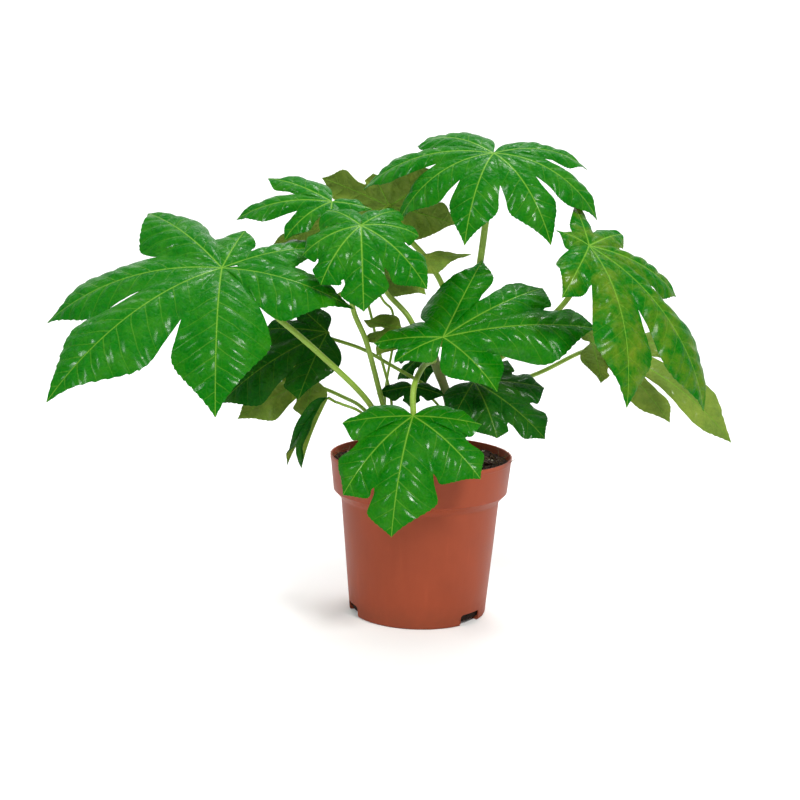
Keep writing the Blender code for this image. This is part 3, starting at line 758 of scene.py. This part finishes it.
def build_fibres(look):
    """Thin curled fibres on the soil, a few of which stick out over the rim."""
    draw = Random(11)
    form = bmesh.new()
    for number in range(look.fibres):
        x, y = scatter(draw, 0.93)
        reach, steep = draw.uniform(4, 13), draw.uniform(0.0, 0.25)
        heading = draw.uniform(0, 2 * pi)
        if number < RIM_FIBRES:
            x, y = (-1) ** number * draw.uniform(50, 61) * MM, draw.uniform(-16, 12) * MM
            reach, steep = draw.uniform(10, 19), draw.uniform(0.9, 1.5)
        start = Vector((x, y, soil_height(x, y, look.lumps))) / MM
        curl = draw.uniform(-0.5, 0.5)
        points = [start + Vector((0, 0, -0.6))]
        for step in range(5):
            heading += curl
            rise = steep * (1 - 0.28 * step)
            points.append(points[-1] + Vector((cos(heading), sin(heading), rise)) * reach / 5)
        thin = draw.uniform(0.12, 0.32)
        stalk(form, points, lambda share, _: thin * (1.1 - 0.8 * share), 5)
    bmesh.ops.recalc_face_normals(form, faces=form.faces)
    finish = speck_finish("dry fibre", (0.30, 0.20, 0.11), (0.07, 0.04, 0.02), 2.0)
    piece("soil_fibres", form, [finish], [], "soil", 180.0)


# Stems and petioles

def stem_at(route, height):
    """Point (mm) on a stem's middle line at a height (mm), and the stem's direction there."""
    points = smooth_route(route, 3)
    for low, high in zip(points, points[1:]):
        if high.z >= height:
            return low.lerp(high, (height - low.z) / (high.z - low.z)), (high - low).normalized()


def build_stems(look):
    """Stems with a swollen ring where each petiole leaves."""
    finish = stalk_finish("green stem", look.stem_colour, (0.40, 0.42, 0.16), 1.0)
    for name, route in (("main", MAIN_STEM), ("side", SIDE_STEM)):
        points = smooth_route(route, 16)
        joints = [leaf.start for leaf in LEAVES if leaf.stem == name]
        radius = STEM_RADII[name]

        def width(share, index):
            swell = sum(0.10 / (1 + ((points[index].z - joint + 1) / 1.6) ** 2) for joint in joints)
            return radius * (1 + min(swell, 0.14)) * (1 if share < 0.985 else 0.7)

        form = bmesh.new()
        stalk(form, points, width, look.sides)
        bmesh.ops.recalc_face_normals(form, faces=form.faces)
        piece(f"{name}_stem", form, [finish], [f"stem_{name}"], "stem", 50.0)


def build_petioles(look):
    finish = stalk_finish("petiole", look.colour, (0.55, 0.62, 0.22), 0.25)
    for leaf in LEAVES:
        stem = MAIN_STEM if leaf.stem == "main" else SIDE_STEM
        heading, pitch, roll = (radians(turn) for turn in leaf.tilt)
        up = Euler((roll, -pitch, heading)).to_matrix() @ Vector((0, 0, 1))
        top = Vector(leaf.junction) - up * TOP_SINK
        bend = top - up * PETIOLE_BEND
        root, growth = stem_at(stem, leaf.start)
        away = Vector((*(Vector(leaf.route[0]) - root).xy, 0))
        away = (away - growth * away.dot(growth)).normalized()
        foot = root + away * (STEM_RADII[leaf.stem] - FOOT_SINK)
        stub = foot + away * PETIOLE_STUB
        points = [foot] + smooth_route([stub, *leaf.route, bend], 12)
        points += [bend.lerp(top, 0.5), top]

        def width(share, _):
            sheath = 0.45 / (1 + (share / 0.035) ** 2)
            knuckle = 0.12 / (1 + ((1 - share) / 0.02) ** 2)
            return leaf.radius * (0.94 + sheath + knuckle)

        form = bmesh.new()
        stalk(form, points, width, look.sides)
        bmesh.ops.recalc_face_normals(form, faces=form.faces)
        piece(f"{leaf.name}_petiole", form, [finish], [f"petiole_{leaf.name}"], "petiole", 50.0)


# Blades: in a blade's own frame x runs along its heading, y to the left and z up from its face

def shape_of(leaf, key):
    """A leaf's own number from its row, or the common one."""
    return leaf.shape.get(key, SHAPE[key])


def lobe_point(leaf, lobe, x, y):
    """Places flat lobe coordinates (mm) on the lobe's arched, drooping midrib."""
    angle, length, droop = radians(lobe[0]), lobe[1], radians(lobe[2])
    rise = radians(leaf.rise)
    slope = rise - droop * x / length
    ahead = length / droop * (sin(rise) - np.sin(slope))
    above = length / droop * (np.cos(slope) - cos(rise))
    fold = radians(shape_of(leaf, "fold"))
    half_width = shape_of(leaf, "breadth") * length
    lift = np.abs(y) * sin(fold) - shape_of(leaf, "cup") * y * y / half_width
    ahead = ahead - lift * np.sin(slope)
    above = above + lift * np.cos(slope)
    across = y * cos(fold)
    return np.stack([ahead * cos(angle) - across * sin(angle),
                     ahead * sin(angle) + across * cos(angle), above], axis=-1)


def cubic(points, u):
    """Points of a cubic Bezier curve at each u."""
    u = u[:, None]
    a, b, c, d = (np.array(point, dtype=float) for point in points)
    return (1 - u) ** 3 * a + 3 * (1 - u) ** 2 * u * b + 3 * (1 - u) * u ** 2 * c + u ** 3 * d


def lobe_edge(leaf, index, side, look, web_rows):
    """Outline of one side of a lobe in flat coordinates, and the lobe next to it, if any."""
    angle, length = leaf.lobes[index][:2]
    beside = index + side
    neighbour = leaf.lobes[beside] if 0 <= beside < len(leaf.lobes) else None
    if neighbour:
        half_angle = radians(abs(neighbour[0] - angle) / 2)
        between = min(index, beside)
        own = leaf.shape.get("sinuses")
        share = own[between] if own else shape_of(leaf, "sinus")
        depth = min(share * (length + neighbour[1]) / 2, FURTHEST_SINUS * min(length, neighbour[1]))
    else:
        basal_gap = 360 - (leaf.lobes[-1][0] - leaf.lobes[0][0])
        half_angle = radians(min(WIDEST_BASE, basal_gap / 2 - 4))
        depth = shape_of(leaf, "base") * length
    sinus = np.array([depth * cos(half_angle), depth * sin(half_angle)])
    seam = sinus * np.linspace(0, 1, web_rows + 1)[:-1, None]
    width = shape_of(leaf, "breadth") * length
    reach = length - sinus[0]
    along = np.linspace(0, 1, look.rows + 1)
    margin = cubic((sinus, (sinus[0] + 0.3 * reach, shape_of(leaf, "bulge") * width),
                    (sinus[0] + 0.66 * reach, shape_of(leaf, "taper") * width), (length, 0)), along)
    saw = (along * look.teeth + 0.37 * index) % 1.0
    tooth = np.where(saw < TOOTH_RISE, saw / TOOTH_RISE, (1 - saw) / (1 - TOOTH_RISE))
    tooth = tooth * np.clip(along * 3 - 0.4, 0, 1) * np.clip((1 - along) * 12, 0, 1)
    shrink = (1.15 - along) * np.clip(along * 8, 0, 1)
    margin[:, 1] += (TOOTH_DEPTH * tooth + 0.010) * length * shrink
    margin[:, 0] += TOOTH_LEAN * tooth * length
    margin[-1] = (length, 0)
    if neighbour:
        notch = SEAM_GAP * np.clip(along * 6, 0, 1)
        limit = np.maximum(margin[:, 0] * tan(half_angle) - notch, 0)
        soft = 0.2 + SHOULDER * length * np.clip(along * 4, 0, 1)
        rounded = -soft * np.log(np.exp(-margin[:, 1] / soft) + np.exp(-limit / soft))
        margin[:, 1] = np.where(along == 0, margin[:, 1], np.minimum(np.maximum(rounded, 0), limit))
        margin[-1] = (length, 0)
    edge = np.concatenate([seam, margin])
    edge[:, 1] *= side
    return edge, neighbour


def lobe_sheet(leaf, index, look):
    """Places, flat coordinates, shares and relief of a lobe's grid, all row by column."""
    lobe = leaf.lobes[index]
    web_rows = max(4, look.rows // 5)
    edges = {side: lobe_edge(leaf, index, side, look, web_rows) for side in (-1, 1)}
    web_end = 0.8 * min(edge[web_rows, 0] for edge, _ in edges.values())
    rib = np.concatenate([np.linspace(0, web_end, web_rows + 1)[:-1],
                          np.linspace(web_end, lobe[1], look.rows + 1)])
    shares = np.linspace(-1, 1, 2 * look.columns + 1)
    shares = np.sign(shares) * np.abs(shares) ** 1.35
    rows = len(rib)
    flat = np.zeros((rows, len(shares), 2))
    places = np.zeros((rows, len(shares), 3))
    past = np.clip((np.arange(rows) - web_rows) / (0.6 * look.rows), 0, 1)
    held = 1 - past
    held = held * held * (3 - 2 * held)
    for column, share in enumerate(shares):
        side = 1 if share > 0 else -1
        edge, neighbour = edges[side]
        away = abs(share)
        x = rib + (edge[:, 0] - rib) * away
        y = edge[:, 1] * away
        flat[:, column] = np.stack([x, y], axis=-1)
        own = lobe_point(leaf, lobe, x, y)
        if neighbour and away:
            turn = radians(lobe[0] - neighbour[0])
            other = lobe_point(leaf, neighbour, x * cos(turn) - y * sin(turn),
                               x * sin(turn) + y * cos(turn))
            blend = (0.5 * held * away ** 3)[:, None]
            own = own * (1 - blend) + other * blend
        places[:, column] = own
    x, y = flat[..., 0], flat[..., 1]
    away = np.abs(shares)[None, :]
    length, half_width = lobe[1], shape_of(leaf, "breadth") * lobe[1]
    left = (shares > 0)[None, :]
    phase = vein_phase(x, np.abs(y), left)
    swell = np.abs(np.sin(pi * phase)) ** 0.7 * np.clip(np.abs(y) / 6, 0, 1)
    swell = swell * np.clip(half_width / 22, 0.3, 1)
    tag = sum(ord(letter) for letter in leaf.name) + 2.1 * index
    wave = np.sin(2 * pi * x / (0.30 * length + 6) + tag + 1.6 * left)
    groove = np.exp(-(y / GROOVE_WIDTH) ** 2)
    relief = (look.quilting * swell * (1 - 0.5 * away ** 4)
              + look.wave * wave * away ** 2 * (x / length)
              - MIDRIB_GROOVE * groove * (1 - x / length))
    start = np.clip(x / 12, 0, 1)
    seam = 1 - held[:, None] * away ** 3
    seam[:web_rows + 1, 0] = seam[:web_rows + 1, -1] = 0
    tip = np.clip((1 - x / length) * 8, 0, 1)
    return places, flat, shares, relief * start * seam * tip


def blade_form(leaf, look):
    """Lobe grids welded along their seams, swollen between veins and given the leaf's thickness."""
    form = bmesh.new()
    relief = form.verts.layers.float.new("relief")
    for index in range(len(leaf.lobes)):
        places, flat, shares, heights = lobe_sheet(leaf, index, look)
        rows, columns = places.shape[0] - 1, places.shape[1] - 1
        spots = lattice(form, rows, columns, lambda row, column: Vector(places[row, column]) * MM,
                        {"lobe": lambda row, column: flat[row, column],
                         "share": lambda row, column: (row / rows, abs(shares[column]))})
        for vert, (row, column) in spots.items():
            vert[relief] = heights[row, column]
    bmesh.ops.remove_doubles(form, verts=form.verts, dist=0.00002)
    bmesh.ops.recalc_face_normals(form, faces=form.faces)
    if sum(face.normal.z * face.calc_area() for face in form.faces) < 0:
        bmesh.ops.reverse_faces(form, faces=form.faces)
    form.normal_update()
    for vert in form.verts:
        vert.co += vert.normal * vert[relief]
    form.normal_update()
    give_thickness(form, look.thickness)
    heading, pitch, roll = (radians(turn) for turn in leaf.tilt)
    turn = Euler((roll, -pitch, heading)).to_matrix().to_4x4()
    shift = Matrix.Translation(Vector(leaf.junction) * MM)
    bmesh.ops.transform(form, matrix=shift @ turn, verts=form.verts)
    return form


def give_thickness(form, thickness):
    """Adds an underside in the second material, and a rim that joins both faces."""
    rim = [edge.link_loops[0] for edge in form.edges if len(edge.link_faces) == 1]
    normals = {vert: vert.normal.copy() for vert in form.verts}
    copy = bmesh.ops.duplicate(form, geom=form.verts[:] + form.edges[:] + form.faces[:])
    below = copy["vert_map"]
    for vert, normal in normals.items():
        below[vert].co = vert.co - normal * thickness
    under = [item for item in copy["geom"] if isinstance(item, bmesh.types.BMFace)]
    bmesh.ops.reverse_faces(form, faces=under)
    for face in under:
        face.material_index = 1
    maps = form.loops.layers.uv.values()
    for loop in rim:
        after = loop.link_loop_next
        near, far = loop.vert, after.vert
        face = form.faces.new((far, near, below[near], below[far]))
        for layer in maps:
            for corner, source in zip(face.loops, (after, loop, loop, after)):
                corner[layer].uv = source[layer].uv


def build_blades(look):
    finishes = {
        "leaf": leaf_finish("leaf, upper face", look.green, look.vein, 1.0, 0.6, 0.12),
        # dark_leaf: the shaded leaves' darker green and darker veins are painted shade.
        "dark_leaf": leaf_finish("shaded leaf", look.dark, shade(look.vein, 0.55), 0.75, 0.6, 0.1),
        "olive_leaf": leaf_finish("olive leaf", look.olive, shade(look.vein, 0.9), 0.35, 1.0, 0.4),
    }
    mottled = leaf_finish("mottled leaf", look.green, look.vein, 1.0, 0.6, 0.8)
    under = leaf_finish("leaf, underside", look.olive, look.vein, 0.15, 1.6, 0.3)
    for leaf in LEAVES:
        upper = mottled if leaf.name in MOTTLED else finishes[leaf.finish]
        piece(f"{leaf.name}_blade", blade_form(leaf, look), [upper, under],
              [f"blade_{leaf.name}"], leaf.finish, 55.0)


# Stage

def lamp(name, place, target, size, power, colour):
    light = bpy.data.lights.new(name, 'AREA')
    light.shape, light.size, light.size_y = 'RECTANGLE', *size
    light.energy, light.color = power, colour
    new = bpy.data.objects.new(name, light)
    new.location = place
    new.rotation_euler = (Vector(target) - Vector(place)).to_track_quat('-Z', 'Y').to_euler()
    bpy.context.scene.collection.objects.link(new)


def build_camera():
    """Camera slightly above the rim, pitched down and rolled a little, as the plant is seen."""
    pitch, roll = radians(CAMERA_PITCH), radians(CAMERA_ROLL)
    ahead = Vector((0, cos(pitch), -sin(pitch)))
    level, upright = Vector((1, 0, 0)), Vector((0, sin(pitch), cos(pitch)))
    right = level * cos(roll) + upright * sin(roll)
    up = upright * cos(roll) - level * sin(roll)
    camera = bpy.data.cameras.new("camera")
    camera.sensor_width = CAMERA_SENSOR
    camera.lens = CAMERA_LENS
    new = bpy.data.objects.new("camera", camera)
    axes = Matrix((right, up, -ahead)).transposed().to_4x4()
    new.matrix_world = Matrix.Translation(CAMERA_PLACE) @ axes
    bpy.context.scene.collection.objects.link(new)
    bpy.context.scene.camera = new


def build_floor(colour):
    form = bmesh.new()
    bmesh.ops.create_grid(form, x_segments=1, y_segments=48, size=FLOOR_REACH)
    for vert in form.verts:
        back = max(0.0, vert.co.y - CURVE_START)
        turn = min(back / CURVE_RADIUS, pi / 2)
        rest = back - turn * CURVE_RADIUS
        vert.co.y = min(vert.co.y, CURVE_START) + CURVE_RADIUS * sin(turn)
        vert.co.z = CURVE_RADIUS * (1 - cos(turn)) + max(0.0, rest)
    floor = placed("floor", form)
    floor.data.shade_smooth()
    finish = Finish("pale floor", Base_Color=(*colour, 1.0), Roughness=0.9, Specular_IOR_Level=0.1)
    floor.data.materials.append(finish.material)


def build_stage(look):
    build_floor(look.floor)
    build_camera()
    plant = (0, 0, 0.2)
    lamp("key light", (0.65, -1.2, 1.5), plant, (0.5, 0.4), look.key, (1.0, 0.99, 0.97))
    lamp("fill light", (-1.1, -0.9, 1.5), plant, (0.4, 0.4), look.fill, (0.96, 0.98, 1.0))
    lamp("top light", (0.2, 0.6, 1.9), plant, (0.6, 0.6), look.top, (1.0, 1.0, 1.0))
    lamp("backdrop light", (0, 1.2, 2.6), (0, 3.2, 0.8), (3.0, 0.8), look.backdrop, (1.0, 1.0, 1.0))
    world = bpy.data.worlds.new("studio")
    world.use_nodes = True
    world.node_tree.nodes["Background"].inputs["Color"].default_value = (1.0, 1.0, 1.0, 1.0)
    world.node_tree.nodes["Background"].inputs["Strength"].default_value = 0.5
    bpy.context.scene.world = world
    bpy.context.scene.view_settings.view_transform = 'Standard'


class FATSIA_OT_pot(bpy.types.Operator):
    """Build the plastic pot with its collar, drain notches and drain holes"""
    bl_idname = "fatsia.pot"
    bl_label = "Pot"

    def execute(self, context):
        build_pot(context.scene.fatsia_pot)
        return {'FINISHED'}


class FATSIA_OT_soil(bpy.types.Operator):
    """Build the soil with its specks, chips and fibres"""
    bl_idname = "fatsia.soil"
    bl_label = "Soil"

    def execute(self, context):
        look = context.scene.fatsia_soil
        build_soil(look)
        build_specks(look)
        build_fibres(look)
        return {'FINISHED'}


class FATSIA_OT_stalks(bpy.types.Operator):
    """Build the stems and the petioles that carry the blades"""
    bl_idname = "fatsia.stalks"
    bl_label = "Stems and petioles"

    def execute(self, context):
        build_stems(context.scene.fatsia_stalks)
        build_petioles(context.scene.fatsia_stalks)
        return {'FINISHED'}


class FATSIA_OT_blades(bpy.types.Operator):
    """Build the hand-shaped leaf blades"""
    bl_idname = "fatsia.blades"
    bl_label = "Blades"

    def execute(self, context):
        build_blades(context.scene.fatsia_blades)
        return {'FINISHED'}


class FATSIA_OT_stage(bpy.types.Operator):
    """Build the floor, the lights and the camera"""
    bl_idname = "fatsia.stage"
    bl_label = "Stage"

    def execute(self, context):
        build_stage(context.scene.fatsia_stage)
        return {'FINISHED'}


class FATSIA_PT_panel(bpy.types.Panel):
    """The plant's pieces and their settings"""
    bl_idname = "FATSIA_PT_panel"
    bl_label = "Potted fatsia"
    bl_space_type = 'VIEW_3D'
    bl_region_type = 'UI'
    bl_category = "Fatsia"

    def draw(self, context):
        for operator, (settings, _) in STEPS.items():
            box = self.layout.box()
            look = getattr(context.scene, settings)
            for key in look.__annotations__:
                box.prop(look, key)
            box.operator(operator)


STEPS = {
    "fatsia.pot": ("fatsia_pot", PotSettings),
    "fatsia.soil": ("fatsia_soil", SoilSettings),
    "fatsia.stalks": ("fatsia_stalks", StalkSettings),
    "fatsia.blades": ("fatsia_blades", BladeSettings),
    "fatsia.stage": ("fatsia_stage", StageSettings),
}
OPERATORS = (FATSIA_OT_pot, FATSIA_OT_soil, FATSIA_OT_stalks, FATSIA_OT_blades, FATSIA_OT_stage)


def register():
    for settings, group in STEPS.values():
        bpy.utils.register_class(group)
        setattr(bpy.types.Scene, settings, PointerProperty(type=group))
    for item in (*OPERATORS, FATSIA_PT_panel):
        bpy.utils.register_class(item)


def unregister():
    for item in (FATSIA_PT_panel, *reversed(OPERATORS)):
        bpy.utils.unregister_class(item)
    for settings, group in STEPS.values():
        delattr(bpy.types.Scene, settings)
        bpy.utils.unregister_class(group)


def main():
    register()
    bpy.ops.fatsia.pot()
    bpy.ops.fatsia.soil()
    bpy.ops.fatsia.stalks()
    bpy.ops.fatsia.blades()
    bpy.ops.fatsia.stage()


if __name__ == "__main__":
    main()
